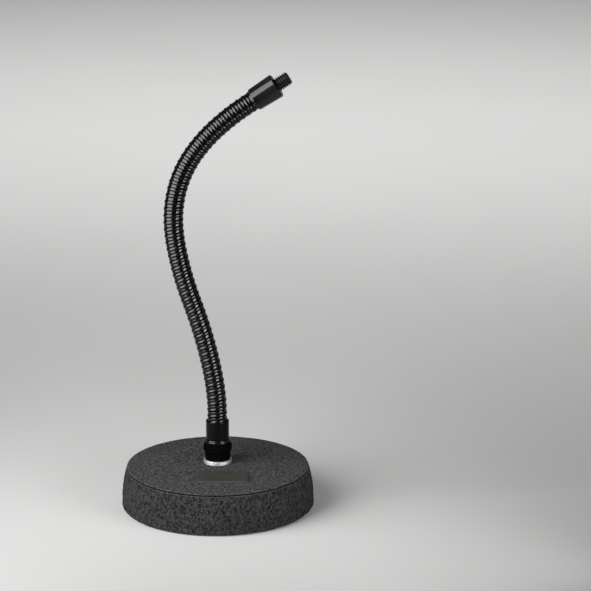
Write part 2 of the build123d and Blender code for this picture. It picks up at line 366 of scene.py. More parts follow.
def makeBlack(name, wear, clean, rubbed, specular):
    b = blackLacquer
    fixed = {"Specular IOR Level": specular, "Coat Roughness": b["coatRoughness"]}
    material, tree, shader, where = startMaterial(name, fixed)
    handled = useGroup(tree, handledGroup, {
        "Vector": where, "Clean Roughness": clean, "Worn Roughness": rubbed, **b["handled"],
    })
    worn = useGroup(tree, edgeWearGroup, {
        "Vector": where, "Edge": attribute(tree, "edge"), "Amount": wear,
        "Color": handled["Color"], "Roughness": handled["Roughness"], **b["edges"],
    })
    linkSkin(tree, shader, worn["Color"], worn["Roughness"], handled["Height"], b)
    tree.links.new(attribute(tree, "lacquer"), shader.inputs["Coat Weight"])
    return material


def makeZinc():
    material, tree, shader, where = startMaterial("zinc", {"Metallic": 1.0})
    handled = useGroup(tree, handledGroup, {"Vector": where, **zincPlate["handled"]})
    linkSkin(tree, shader, handled["Color"], handled["Roughness"], handled["Height"], zincPlate)
    return material


def makeBadge():
    b = badgeSheet
    material, tree, shader, where = startMaterial("badge", {"Specular IOR Level": b["specular"]})
    brushed = addNode(tree, "ShaderNodeMapping", {"Vector": where, "Scale": b["brushing"]}).outputs[0]
    handled = useGroup(tree, handledGroup, {"Vector": brushed, **b["handled"]})
    linkSkin(tree, shader, handled["Color"], handled["Roughness"], handled["Height"], b)
    return material


castIron = makeCastIron()
rubber = makeRubber()
blacks = {name: makeBlack(name, **values) for name, values in blackFinishes.items()}
zinc = makeZinc()
badge = makeBadge()
print("materials made:", len(bpy.data.materials))


# Camera, floor and lights

cameraSetup = {"lens": 150.0, "elevation": 15.0, "distance": 1.637, "aimX": 52.6 * mm, "aimZ": 146.5 * mm}
floorSetup = {
    "size": 12.0,
    "color": (0.50, 0.50, 0.495),
    "roughness": 0.6,
    "specular": 0.2,
    "cloudScale": 3.0,
    "cloudDetail": 2.0,
    "cloudBreakup": 0.5,
    "cloudSpan": (0.3, 0.7),
    "cloudTone": (0.985, 1.0),
}
softboxes = {
    "left": {
        "azimuth": -54.0, "distance": 0.41, "bottom": 0.02,
        "width": 0.46, "height": 0.77, "watts": 7.4, "spread": 140.0,
    },
    "right": {
        "azimuth": 46.0, "distance": 0.32, "bottom": 0.02,
        "width": 0.20, "height": 0.20, "watts": 0.40, "spread": 80.0,
    },
}
backdropLamp = {
    "place": (0.0, 1.0, 1.6), "aim": (0.0, 3.3, 0.0),
    "width": 2.0, "height": 1.2, "watts": 60.0, "spread": 180.0,
}
worldLevel = 0.12


def makeCamera():
    camera = bpy.data.objects.new("camera", bpy.data.cameras.new("camera"))
    scene.collection.objects.link(camera)
    scene.camera = camera
    camera.data.lens = cameraSetup["lens"]
    elevation = math.radians(cameraSetup["elevation"])
    back = Vector((0.0, -math.cos(elevation), math.sin(elevation)))
    camera.location = Vector((cameraSetup["aimX"], 0.0, cameraSetup["aimZ"])) + back * cameraSetup["distance"]
    camera.rotation_euler = (-back).to_track_quat("-Z", "Y").to_euler()


def makeFloor():
    f = floorSetup
    half = f["size"] / 2
    mesh = bpy.data.meshes.new("floor")
    corners = [(-half, -half, 0), (half, -half, 0), (half, half, 0), (-half, half, 0)]
    mesh.from_pydata(corners, [], [(0, 1, 2, 3)])
    floor = bpy.data.objects.new("floor", mesh)
    scene.collection.objects.link(floor)
    fixed = {"Roughness": f["roughness"], "Specular IOR Level": f["specular"]}
    material, tree, shader, where = startMaterial("paleFloor", fixed)
    clouds = noise(tree, where, f["cloudScale"], f["cloudDetail"], f["cloudBreakup"])
    tone = ramp(tree, clouds, *f["cloudSpan"], *f["cloudTone"])
    tree.links.new(vectorCalc(tree, "SCALE", f["color"], tone), shader.inputs["Base Color"])
    mesh.materials.append(material)


def makeWorld():
    world = bpy.data.worlds.new("studio")
    scene.world = world
    world.use_nodes = True
    background = world.node_tree.nodes["Background"].inputs
    background["Color"].default_value = gray(1.0)
    background["Strength"].default_value = worldLevel


def makeLamp(name, place, aim, setup):
    lamp = bpy.data.lights.new(name, "AREA")
    lamp.shape = "RECTANGLE"
    lamp.size = setup["width"]
    lamp.size_y = setup["height"]
    lamp.energy = setup["watts"]
    lamp.spread = math.radians(setup["spread"])
    holder = bpy.data.objects.new(name, lamp)
    scene.collection.objects.link(holder)
    holder.location = place
    holder.rotation_euler = (aim - place).to_track_quat("-Z", "Y").to_euler()
    holder.visible_camera = False


def makeLights():
    for side, box in softboxes.items():
        turn = math.radians(box["azimuth"])
        middle = box["bottom"] + box["height"] / 2
        place = Vector((math.sin(turn) * box["distance"], -math.cos(turn) * box["distance"], middle))
        makeLamp(f"softbox_{side}", place, Vector((0, 0, middle)), box)
    makeLamp("backdrop", Vector(backdropLamp["place"]), Vector(backdropLamp["aim"]), backdropLamp)


makeCamera()
makeFloor()
makeWorld()
makeLights()
print("stage and lights set")


# Meshes by code

arcSteps = 5
arcShoulder = 0.25  # from a corner's arc to the point just outside it, as a share of its radius
edgeReach = 0.3 * mm  # how far past a corner's radius its wear goes
smoothCorners = 4.5  # faces with more corners than this are flat ends


def roundedOutline(corners):
    # Corners are (radius, height, round). A rounded one gets an arc, with a point just outside each end.
    points = []
    for i, (radius, height, size) in enumerate(corners):
        corner = Vector((radius, height))
        if size == 0.0:
            points.append(corner)
            continue
        before = (Vector(corners[i - 1][:2]) - corner).normalized()
        after = (Vector(corners[(i + 1) % len(corners)][:2]) - corner).normalized()
        half = before.angle(after) / 2
        reach = size / math.tan(half)
        centre = corner + (before + after).normalized() * size / math.sin(half)
        start = (corner + before * reach - centre).normalized()
        end = (corner + after * reach - centre).normalized()
        points.append(corner + before * (reach + arcShoulder * size))
        for step in range(arcSteps + 1):
            points.append(centre + start.slerp(end, step / arcSteps) * size)
        points.append(corner + after * (reach + arcShoulder * size))
    return points


def arcPoints(centre, radius, fromAngle, toAngle, spacing):
    steps = max(2, round(abs(toAngle - fromAngle) * radius / spacing))
    angles = [fromAngle + (toAngle - fromAngle) * step / steps for step in range(steps + 1)]
    return [centre + Vector((math.cos(a), math.sin(a))) * radius for a in angles]


def linePoints(start, end, spacing):
    steps = max(1, round((end - start).length / spacing))
    return [start.lerp(end, step / steps) for step in range(steps + 1)]


def turnedMesh(name, outline, segments, closed):
    # The outline runs so that the solid lies on its left. Closed joins its last point to its first.
    points, rings, faces = [], [], []
    for radius, height in outline:
        if radius < onAxis:
            rings.append([len(points)])
            points.append((0.0, 0.0, height))
        else:
            rings.append(list(range(len(points), len(points) + segments)))
            for step in range(segments):
                turn = 2 * math.pi * step / segments
                points.append((radius * math.cos(turn), radius * math.sin(turn), height))
    pairs = list(zip(rings, rings[1:])) + ([(rings[-1], rings[0])] if closed else [])
    for low, high in pairs:
        for step in range(segments):
            following = (step + 1) % segments
            face = [
                low[step % len(low)], low[following % len(low)],
                high[following % len(high)], high[step % len(high)],
            ]
            faces.append([v for i, v in enumerate(face) if v != face[i - 1]])
    mesh = bpy.data.meshes.new(name)
    mesh.from_pydata(points, [], faces)
    mesh.shade_smooth()
    return mesh


def markRings(mesh, name, outline, levels, segments):
    # an attribute with one value for each ring of a turned mesh
    values = []
    for point, level in zip(outline, levels):
        values += [level] * (1 if point[0] < onAxis else segments)
    mesh.attributes.new(name, "FLOAT", "POINT").data.foreach_set("value", values)


def markEdges(mesh, outline, corners, segments):
    # edge is 1 at the rounded corners and fades beside them, for the wear there
    rounded = [(Vector(corner[:2]), corner[2] + edgeReach) for corner in corners if corner[2]]
    levels = []
    for point in outline:
        levels.append(max([0.0] + [1 - (point - place).length / reach for place, reach in rounded]))
    markRings(mesh, "edge", outline, levels, segments)


def addPiece(name, mesh, material=None):
    piece = bpy.data.objects.new(name, mesh)
    scene.collection.objects.link(piece)
    if material is not None:
        mesh.materials.append(material)
    return piece


def applyTree(piece, tree, values, name):
    # The tree's result becomes a plain mesh, and the piece that carried the tree goes.
    modifier = piece.modifiers.new(tree.name, "NODES")
    modifier.node_group = tree
    for item in tree.interface.items_tree:
        if item.item_type == "SOCKET" and item.in_out == "INPUT" and item.name in values:
            modifier[item.identifier] = values[item.name]
    depsgraph = bpy.context.evaluated_depsgraph_get()
    mesh = bpy.data.meshes.new_from_object(piece.evaluated_get(depsgraph))
    mesh.name = name
    bpy.data.objects.remove(piece)
    return addPiece(name, mesh)


def positions(tree):
    return addNode(tree, "GeometryNodeInputPosition", {}).outputs[0]


def storeMark(tree, geometry, name, value):
    inputs = {"Geometry": geometry, "Name": name, "Value": value}
    settings = {"data_type": "FLOAT", "domain": "POINT"}
    return addNode(tree, "GeometryNodeStoreNamedAttribute", inputs, **settings).outputs[0]


def movePoints(tree, inputs):
    return addNode(tree, "GeometryNodeSetPosition", inputs).outputs[0]


def paintTree(tree, geometry, given, result):
    real = addNode(tree, "GeometryNodeRealizeInstances", {"Geometry": geometry}).outputs[0]
    inputs = {"Geometry": real, "Material": given["Material"]}
    tree.links.new(addNode(tree, "GeometryNodeSetMaterial", inputs).outputs[0], result["Geometry"])


def finishTree(tree, geometry, given, result):
    corners = addNode(tree, "GeometryNodeInputMeshFaceNeighbors", {}).outputs["Vertex Count"]
    flat = calc(tree, "GREATER_THAN", corners, smoothCorners)
    inputs = {"Geometry": geometry, "Selection": flat, "Shade Smooth": False}
    paintTree(tree, addNode(tree, "GeometryNodeSetShadeSmooth", inputs).outputs[0], given, result)


# Base casting: a turned skin, with lumps pressed into it

casting = {
    "sideFoot": 5.0 * mm,  # height at which the side stops being upright
    "sideCrown": 75.0 * mm,
    "footRound": 0.8 * mm,
    "rimHeight": 28.4 * mm,
    "rimRound": 0.9 * mm,
    "seatRadius": 12.0 * mm,
    "rimWidth": 11.0 * mm,
    "plateUnderside": 18.0 * mm,
    "bossRadius": 19.0 * mm,
    "bossUnderside": 13.0 * mm,
    "boreRadius": 8.1 * mm,
    "creaseBelowRim": 1.35 * mm,
    "creaseWidth": 0.8 * mm,
    "creaseDepth": 0.7 * mm,
    "creaseFlank": 0.6,  # share of the crease's half width over which it deepens
    "creasePoints": (-1.0, -0.85, -0.45, -0.2, 0.2, 0.45, 0.85, 1.0),
    "creaseClear": 0.2 * mm,
    "spacing": 0.7 * mm,
    "coarseSpacing": 2.5 * mm,
    "footSpacing": 0.3 * mm,
    "rimSpacing": 0.25 * mm,
    "segments": 500,
    "lumpSpan": (0.3, 0.7),
    "sideLumps": 0.35 * mm,
    "sideLumpScale": 320.0,
    "sideLumpDetail": 3.0,
    "sideLumpBreakup": 0.55,
    "topLumps": 0.12 * mm,
    "topLumpScale": 420.0,
    "topLumpDetail": 2.0,
    "topLumpBreakup": 0.5,
    "sideToTop": (0.45, 0.8),  # upward part of the normal, from the side's grain and darker tone to the top's grain and lighter tone, the lighter tone being painted light from above
}


def castingOutline():
    c = casting
    low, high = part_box("base_casting")
    radius, bottom, seat = high.x, low.z, high.z
    foot = c["footRound"]
    crownCentre = Vector((radius - c["sideCrown"], c["sideFoot"]))
    crownTop = math.asin((c["rimHeight"] - c["rimRound"] - c["sideFoot"]) / c["sideCrown"])
    side = arcPoints(crownCentre, c["sideCrown"], 0.0, crownTop, c["spacing"])
    creaseHeight = c["rimHeight"] - c["creaseBelowRim"]
    half = c["creaseWidth"] / 2
    crease = []
    for along in c["creasePoints"]:
        height = creaseHeight + along * half
        out = crownCentre.x + math.sqrt(c["sideCrown"] ** 2 - (height - c["sideFoot"]) ** 2)
        sunk = c["creaseDepth"] * min(1.0, (1 - abs(along)) / c["creaseFlank"])
        crease.append(Vector((out - sunk, height)))
    below = [point for point in side if point.y < creaseHeight - half - c["creaseClear"]]
    side = below + crease + side[-1:]
    rimCentre = side[-1] - Vector((math.cos(crownTop), math.sin(crownTop))) * c["rimRound"]
    topEdge = rimCentre + Vector((0.0, c["rimRound"]))
    reach, fall = topEdge.x - c["seatRadius"], seat - topEdge.y
    topRadius = (reach**2 + fall**2) / (2 * fall)
    topCentre = Vector((c["seatRadius"], seat - topRadius))
    edgeAngle = math.atan2(topEdge.y - topCentre.y, topEdge.x - topCentre.x)
    hollow = radius - c["rimWidth"]
    outline = linePoints(Vector((hollow, bottom)), Vector((radius - foot, bottom)), c["coarseSpacing"])[:-1]
    footCentre = Vector((radius - foot, bottom + foot))
    outline += arcPoints(footCentre, foot, -math.pi / 2, 0.0, c["footSpacing"])
    wall = linePoints(Vector((radius, bottom + foot)), Vector((radius, c["sideFoot"])), c["spacing"])
    outline += wall[1:-1] + side
    outline += arcPoints(rimCentre, c["rimRound"], crownTop, math.pi / 2, c["rimSpacing"])[1:-1]
    outline += arcPoints(topCentre, topRadius, edgeAngle, math.pi / 2, c["spacing"])
    for corner in (
        (c["boreRadius"], seat), (c["boreRadius"], c["bossUnderside"]), (c["bossRadius"], c["bossUnderside"]),
        (c["bossRadius"], c["plateUnderside"]), (hollow, c["plateUnderside"]), (hollow, bottom),
    ):
        outline += linePoints(outline[-1], Vector(corner), c["coarseSpacing"])[1:]
    return outline[:-1]


def makeCastSkinTree():
    c = casting
    tree, given, result = makeTree(
        "GeometryNodeTree", "castSkin",
        {
            "Geometry": ("Geometry", None),
            "Side Lumps": ("Float", 0.0004), "Side Scale": ("Float", 230.0),
            "Top Lumps": ("Float", 0.0001), "Top Scale": ("Float", 420.0),
            "Material": ("Material", None),
        },
        {"Geometry": "Geometry"},
    )
    place = positions(tree)
    normal = addNode(tree, "GeometryNodeInputNormal", {}).outputs[0]
    onSide = ramp(tree, splitVector(tree, normal)["Z"], *c["sideToTop"], 1.0, 0.0)
    marked = storeMark(tree, given["Geometry"], "side", onSide)
    sideNoise = noise(tree, place, given["Side Scale"], c["sideLumpDetail"], c["sideLumpBreakup"])
    topNoise = noise(tree, place, given["Top Scale"], c["topLumpDetail"], c["topLumpBreakup"])
    sideDepth = calc(tree, "MULTIPLY", ramp(tree, sideNoise, *c["lumpSpan"]), given["Side Lumps"])
    sideDepth = calc(tree, "MULTIPLY", sideDepth, onSide)
    topDepth = calc(tree, "MULTIPLY", ramp(tree, topNoise, *c["lumpSpan"]), given["Top Lumps"])
    topDepth = calc(tree, "MULTIPLY", topDepth, calc(tree, "SUBTRACT", 1.0, onSide))
    inward = calc(tree, "MULTIPLY", calc(tree, "ADD", sideDepth, topDepth), -1.0)
    shaped = movePoints(tree, {"Geometry": marked, "Offset": vectorCalc(tree, "SCALE", normal, inward)})
    finishTree(tree, shaped, given, result)
    return tree


def makeBase():
    c = casting
    outline = castingOutline()
    mesh = turnedMesh("castBlank", outline, c["segments"], True)
    creaseHeight = c["rimHeight"] - c["creaseBelowRim"]
    hollow = outline[0].x
    # painted shade level along the crease: 1 at its middle, falling to 0 at its edges and beyond
    creaseShadeLevels = []
    for point in outline:
        creaseShadeLevel = 1 - abs(point.y - creaseHeight) / (c["creaseWidth"] / 2)
        creaseShadeLevels.append(max(0.0, creaseShadeLevel) if point.x > hollow else 0.0)
    markRings(mesh, "crease", outline, creaseShadeLevels, c["segments"])
    base = applyTree(addPiece("castBlank", mesh), makeCastSkinTree(), {
        "Side Lumps": c["sideLumps"], "Side Scale": c["sideLumpScale"],
        "Top Lumps": c["topLumps"], "Top Scale": c["topLumpScale"], "Material": castIron,
    }, "castBase")
    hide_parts("base_casting")
    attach(base, "base")
    print("base:", len(base.data.polygons), "faces")


makeBase()


# Neck: each wire is swept straight up, then wrapped round the neck's line

neck = {
    "linkTurns": 3,
    "footTurns": 2,
    "hiddenTurns": 2,
    "roundDiameter": 3.25 * mm,
    "wedgeRecess": 0.4 * mm,
    "wedgeFlank": 30.0,
    "wedgeTip": 0.4 * mm,
    "wedgeRound": 0.12 * mm,
    "wedgeRoundSteps": 3,
    "wireGap": 0.05 * mm,
    "stepsPerTurn": 72,
    "roundSides": 20,
    "routeSteps": 24,
    "seamTurn": 0.75,  # wires are parted at the back of the neck
    "blendShare": 0.62,  # of half a link, on each side of a joint
}
micStud = frame["record"]["mounts"][0]
jointPoints = [Vector(joint["pos_m"]) for joint in joints]
pitch = (jointPoints[1] - jointPoints[0]).length / neck["linkTurns"]
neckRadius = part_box("round_wire_foot")[1].x
tipAxis = Vector(micStud["axis"]).normalized()
neckFoot = jointPoints[0].z - neck["footTurns"] * pitch  # height of the first turn above the ferrule
routeStart = Vector((0.0, 0.0, neckFoot - (neck["hiddenTurns"] + 1) * pitch))
routeEnd = jointPoints[-1] + tipAxis * (neck["footTurns"] + neck["hiddenTurns"] + 1) * pitch
wrapInputs = {
    "First Turn": ("Float", 0.0), "Last Turn": ("Float", 1.0), "Steps Per Turn": ("Float", 72.0),
    "Pitch": ("Float", 0.0044), "Coil Radius": ("Float", 0.005), "Seam Turn": ("Float", 0.75),
    "Route Lead": ("Float", 0.0), "Material": ("Material", None),
}


def makeRoute():
    # A quadratic curve whose control points are the joints touches every link at its middle.
    points = [routeStart] + jointPoints + [routeEnd]
    curve = bpy.data.curves.new("neckRoute", "CURVE")
    curve.dimensions = "3D"
    curve.resolution_u = neck["routeSteps"]
    spline = curve.splines.new("NURBS")
    spline.points.add(len(points) - 1)
    for point, place in zip(spline.points, points):
        point.co = (*place, 1.0)
    spline.order_u = 3
    spline.use_endpoint_u = True
    return curve


def makeWrapGroup():
    tree, given, result = makeTree(
        "GeometryNodeTree", "wrapOnNeck",
        {"Route": ("Geometry", None), "Profile": ("Geometry", None), **wrapInputs},
        {"Geometry": "Geometry"},
    )
    line = addNode(tree, "GeometryNodeCurvePrimitiveLine", {
        "Start": joinVector(tree, Z=calc(tree, "MULTIPLY", given["First Turn"], given["Pitch"])),
        "End": joinVector(tree, Z=calc(tree, "MULTIPLY", given["Last Turn"], given["Pitch"])),
    }).outputs[0]
    turns = calc(tree, "SUBTRACT", given["Last Turn"], given["First Turn"])
    count = calc(tree, "ADD", calc(tree, "MULTIPLY", turns, given["Steps Per Turn"]), 1.0)
    stepped = addNode(tree, "GeometryNodeResampleCurve", {"Curve": line, "Count": count}).outputs[0]
    swept = addNode(tree, "GeometryNodeCurveToMesh", {
        "Curve": stepped, "Profile Curve": given["Profile"], "Fill Caps": True,
    }).outputs[0]
    place = splitVector(tree, positions(tree))
    turn = calc(tree, "ADD", calc(tree, "DIVIDE", place["Z"], given["Pitch"]), given["Seam Turn"])
    angle = calc(tree, "MULTIPLY", turn, 2 * math.pi)
    station = calc(tree, "ADD", calc(tree, "ADD", place["Z"], place["X"]), given["Route Lead"])
    onRoute = addNode(
        tree, "GeometryNodeSampleCurve", {"Curves": given["Route"], "Length": station}, mode="LENGTH"
    ).outputs
    across = vectorCalc(tree, "CROSS_PRODUCT", (0.0, 1.0, 0.0), onRoute["Tangent"])
    across = vectorCalc(tree, "SCALE", across, calc(tree, "COSINE", angle))
    outward = vectorCalc(tree, "ADD", across, joinVector(tree, Y=calc(tree, "SINE", angle)))
    radius = calc(tree, "ADD", given["Coil Radius"], place["Y"])
    wrapped = vectorCalc(tree, "ADD", onRoute["Position"], vectorCalc(tree, "SCALE", outward, radius))
    finishTree(tree, movePoints(tree, {"Geometry": swept, "Position": wrapped}), given, result)
    return tree


wrapGroup = makeWrapGroup()


def makeWireTree(name, more):
    inputs = {"Geometry": ("Geometry", None), **wrapInputs, **more}
    return makeTree("GeometryNodeTree", name, inputs, {"Geometry": "Geometry"})


def wrapProfile(tree, given, result, profile):
    inputs = {"Route": given["Geometry"], "Profile": profile, **{label: given[label] for label in wrapInputs}}
    wrap = addNode(tree, "GeometryNodeGroup", inputs, node_tree=wrapGroup)
    paintTree(tree, wrap.outputs[0], given, result)
    return tree


def makeRoundWireTree():
    tree, given, result = makeWireTree("roundWire", {"Wire Radius": ("Float", 0.0016), "Sides": ("Int", 20)})
    profile = addNode(tree, "GeometryNodeCurvePrimitiveCircle", {
        "Resolution": given["Sides"], "Radius": given["Wire Radius"],
    }, mode="RADIUS").outputs[0]
    return wrapProfile(tree, given, result, profile)


def makeWedgeWireTree():
    tree, given, result = makeWireTree("wedgeWire", {
        "Face Width": ("Float", 0.001), "Tip Width": ("Float", 0.0004), "Depth": ("Float", 0.002),
        "Corner Round": ("Float", 0.0001),
    })
    wedge = addNode(tree, "GeometryNodeCurvePrimitiveQuadrilateral", {
        "Bottom Width": given["Tip Width"], "Top Width": given["Face Width"], "Height": given["Depth"],
        "Offset": 0.0,
    }, mode="TRAPEZOID").outputs[0]
    profile = addNode(tree, "GeometryNodeFilletCurve", {
        "Curve": wedge, "Radius": given["Corner Round"], "Count": neck["wedgeRoundSteps"],
    }, mode="POLY").outputs[0]
    return wrapProfile(tree, given, result, profile)


def makeNeck():
    route = makeRoute()
    roundTree, wedgeTree = makeRoundWireTree(), makeWedgeWireTree()
    wireRadius = neck["roundDiameter"] / 2
    coilRadius = neckRadius - wireRadius
    flank = math.radians(neck["wedgeFlank"])
    faceRadius = neckRadius - neck["wedgeRecess"]
    clear = wireRadius + neck["wireGap"]
    faceHalf = pitch / 2 - clear * math.cos(flank)
    faceHalf += (faceRadius - coilRadius - clear * math.sin(flank)) * math.tan(flank)
    wedgeDepth = (faceHalf - neck["wedgeTip"] / 2) / math.tan(flank)
    lead = neckFoot - routeStart.z
    lastTurn = neck["footTurns"] * 2 + neck["linkTurns"] * (len(joints) - 1)
    for i, joint in enumerate(joints):
        parted = neck["footTurns"] + neck["linkTurns"] * (i - 0.5)
        firstTurn = -neck["hiddenTurns"] if i == 0 else parted
        endTurn = lastTurn + neck["hiddenTurns"] if i == len(joints) - 1 else parted + neck["linkTurns"]
        shared = {
            "First Turn": float(firstTurn), "Last Turn": float(endTurn), "Pitch": pitch,
            "Steps Per Turn": float(neck["stepsPerTurn"]), "Seam Turn": neck["seamTurn"],
        }
        ends = (["foot"] if i == 0 else []) + ([f"{i + 1:02d}"] if i + 1 < len(joints) else ["tip"])
        for wire, tree, more in (
            ("round", roundTree, {
                "Coil Radius": coilRadius, "Route Lead": lead, "Material": blacks["roundWire"],
                "Wire Radius": wireRadius, "Sides": neck["roundSides"],
            }),
            ("wedge", wedgeTree, {
                "Coil Radius": faceRadius - wedgeDepth / 2, "Route Lead": lead + pitch / 2,
                "Face Width": 2 * faceHalf, "Tip Width": neck["wedgeTip"], "Depth": wedgeDepth,
                "Corner Round": neck["wedgeRound"], "Material": blacks["wedgeWire"],
            }),
        ):
            guide = bpy.data.objects.new("neckRoute", route.copy())
            scene.collection.objects.link(guide)
            piece = applyTree(guide, tree, {**shared, **more}, f"{wire}Wire_{i + 1:02d}")
            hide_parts(*[f"{wire}_wire_{end}" for end in ends])
            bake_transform(piece)
    print("neck:", len(joints), "stretches of each wire, pitch", round(pitch / mm, 3), "mm")


makeNeck()


# Threads are cut into a turned rod by its own tree

threadShape = {
    "wallShare": 0.99,  # points nearer the axis than this share of the rod's radius stay
    "endSlack": 0.001 * mm,  # so that the rod's very end is still cut
}


def makeThreadTree():
    tree, given, result = makeTree(
        "GeometryNodeTree", "cutThread",
        {
            "Geometry": ("Geometry", None), "Pitch": ("Float", 0.0016), "Depth": ("Float", 0.001),
            "Radius": ("Float", 0.0048), "From": ("Float", 0.0), "To": ("Float", 0.01),
            "Chamfer": ("Float", 0.001), "Crest Share": ("Float", 0.125), "Root Share": ("Float", 0.25),
            "Material": ("Material", None),
        },
        {"Geometry": "Geometry"},
    )
    place = splitVector(tree, positions(tree))
    turn = calc(tree, "DIVIDE", calc(tree, "ARCTAN2", place["Y"], place["X"]), 2 * math.pi)
    turnsUp = calc(tree, "DIVIDE", place["Z"], given["Pitch"])
    phase = calc(tree, "FRACT", calc(tree, "SUBTRACT", turnsUp, turn))
    fromCrest = calc(tree, "ABSOLUTE", calc(tree, "SUBTRACT", phase, 0.5))
    crest = calc(tree, "MULTIPLY", given["Crest Share"], 0.5)
    root = calc(tree, "SUBTRACT", 0.5, calc(tree, "MULTIPLY", given["Root Share"], 0.5))
    inputs = {"Value": fromCrest, "From Min": crest, "From Max": root}
    flank = addNode(tree, "ShaderNodeMapRange", inputs).outputs[0]
    toEnd = calc(tree, "SUBTRACT", given["To"], place["Z"])
    chamfer = calc(tree, "MAXIMUM", calc(tree, "SUBTRACT", given["Chamfer"], toEnd), 0.0)
    cut = calc(tree, "MAXIMUM", calc(tree, "MULTIPLY", flank, given["Depth"]), chamfer)
    radius = vectorCalc(tree, "LENGTH", joinVector(tree, X=place["X"], Y=place["Y"]))
    wall = calc(tree, "MULTIPLY", given["Radius"], threadShape["wallShare"])
    onWall = calc(tree, "GREATER_THAN", radius, wall)
    past = calc(tree, "GREATER_THAN", place["Z"], given["From"])
    between = calc(tree, "MULTIPLY", past, calc(tree, "GREATER_THAN", toEnd, -threadShape["endSlack"]))
    inside = calc(tree, "MULTIPLY", between, onWall)
    share = calc(tree, "DIVIDE", calc(tree, "SUBTRACT", radius, calc(tree, "MULTIPLY", cut, inside)), radius)
    turned = joinVector(
        tree, X=calc(tree, "MULTIPLY", place["X"], share), Y=calc(tree, "MULTIPLY", place["Y"], share),
        Z=place["Z"],
    )
    edge = calc(tree, "MULTIPLY", calc(tree, "SUBTRACT", 1.0, flank), inside)
    marks = addNode(tree, "GeometryNodeInputNamedAttribute", {"Name": "edge"}, data_type="FLOAT").outputs[0]
    marked = storeMark(tree, given["Geometry"], "edge", calc(tree, "MAXIMUM", edge, marks))
    moved = movePoints(tree, {"Geometry": marked, "Selection": inside, "Position": turned})
    finishTree(tree, moved, given, result)
    return tree


threadTree = makeThreadTree()


def placePiece(piece, origin, axis):
    side = Vector((0.0, 1.0, 0.0))
    across = side.cross(axis)
    turn = Matrix((across, side, axis)).transposed().to_4x4()
    piece.data.transform(Matrix.Translation(origin) @ turn)


def alongAxis(node, origin, axis):
    # lowest and highest place of a CAD node along an axis, and its radius about it
    heights, radii = [], []
    for vertex in nodes[node].data.vertices:
        away = vertex.co - origin
        height = away.dot(axis)
        heights.append(height)
        radii.append((away - axis * height).length)
    return min(heights), max(heights), max(radii)


def makeTurned(name, corners, segments, material, origin, axis, node, body):
    outline = roundedOutline(corners)
    mesh = turnedMesh(name, outline, segments, True)
    markEdges(mesh, outline, corners, segments)
    piece = addPiece(name, mesh, material)
    placePiece(piece, origin, axis)
    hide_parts(node)
    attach(piece, body)


# Foot: zinc ring, the ferrule that grips the neck, and the threaded fitting with its bead

ringSizes = {
    "segments": 160,
    "bore": 16.2 * mm,
    "edgeRound": 0.25 * mm,
    "chamfer": 0.5 * mm,
    "chamferRound": 0.15 * mm,
}
ferruleSizes = {
    "segments": 160,
    "bore": 13.6 * mm,
    "footRound": 0.35 * mm,
    "topRound": 0.5 * mm,
    "boreRound": 0.2 * mm,
}
fittingSizes = {
    "segments": 160,
    "shankDiameter": 16.9 * mm,
    "shankFootRound": 0.25 * mm,
    "shankTop": 37.3 * mm,
    "shankTopRound": 0.3 * mm,
    "beadUnder": 2.0 * mm,
    "beadSide": 3.0 * mm,
    "beadSlope": 2.7 * mm,
    "beadDiameter": 19.1 * mm,
    "beadRound": 1.2 * mm,
    "lipDiameter": 17.3 * mm,
    "lipHeight": 0.9 * mm,
    "lipFootRound": 0.2 * mm,
    "lipRound": 0.4 * mm,
    "neckDiameter": 16.4 * mm,
    "neckHeight": 0.9 * mm,
    "lacquerFade": 0.2 * mm,  # the clear lacquer starts at the foot of the lip, over this height
    "threadDiameter": 15.875 * mm,
    "threadPitch": 0.9407 * mm,
    "threadDepth": 0.55 * mm,
    "threadChamfer": 0.8 * mm,
    "threadShown": 2.4 * mm,  # cut up to inside the nut
    "threadRows": 10,
}
tableMiddle = Vector((0, 0, 0))
upright = Vector((0, 0, 1))


def makeRing():
    r = ringSizes
    low, high, radius = alongAxis("zinc_ring", tableMiddle, upright)
    makeTurned("zincRing", [
        (r["bore"] / 2, low, 0.0), (radius, low, r["edgeRound"]),
        (radius, high - r["chamfer"], r["chamferRound"]), (radius - r["chamfer"], high, r["chamferRound"]),
        (r["bore"] / 2, high, r["edgeRound"]),
    ], r["segments"], zinc, tableMiddle, upright, "zinc_ring", "base")


def makeFerrule():
    f = ferruleSizes
    low, high, radius = alongAxis("lower_ferrule", tableMiddle, upright)
    makeTurned("lowerFerrule", [
        (f["bore"] / 2, low, 0.0), (radius, low, f["footRound"]),
        (radius, high, f["topRound"]), (f["bore"] / 2, high, f["boreRound"]),
    ], f["segments"], blacks["blackSatin"], tableMiddle, upright, "lower_ferrule", "base")


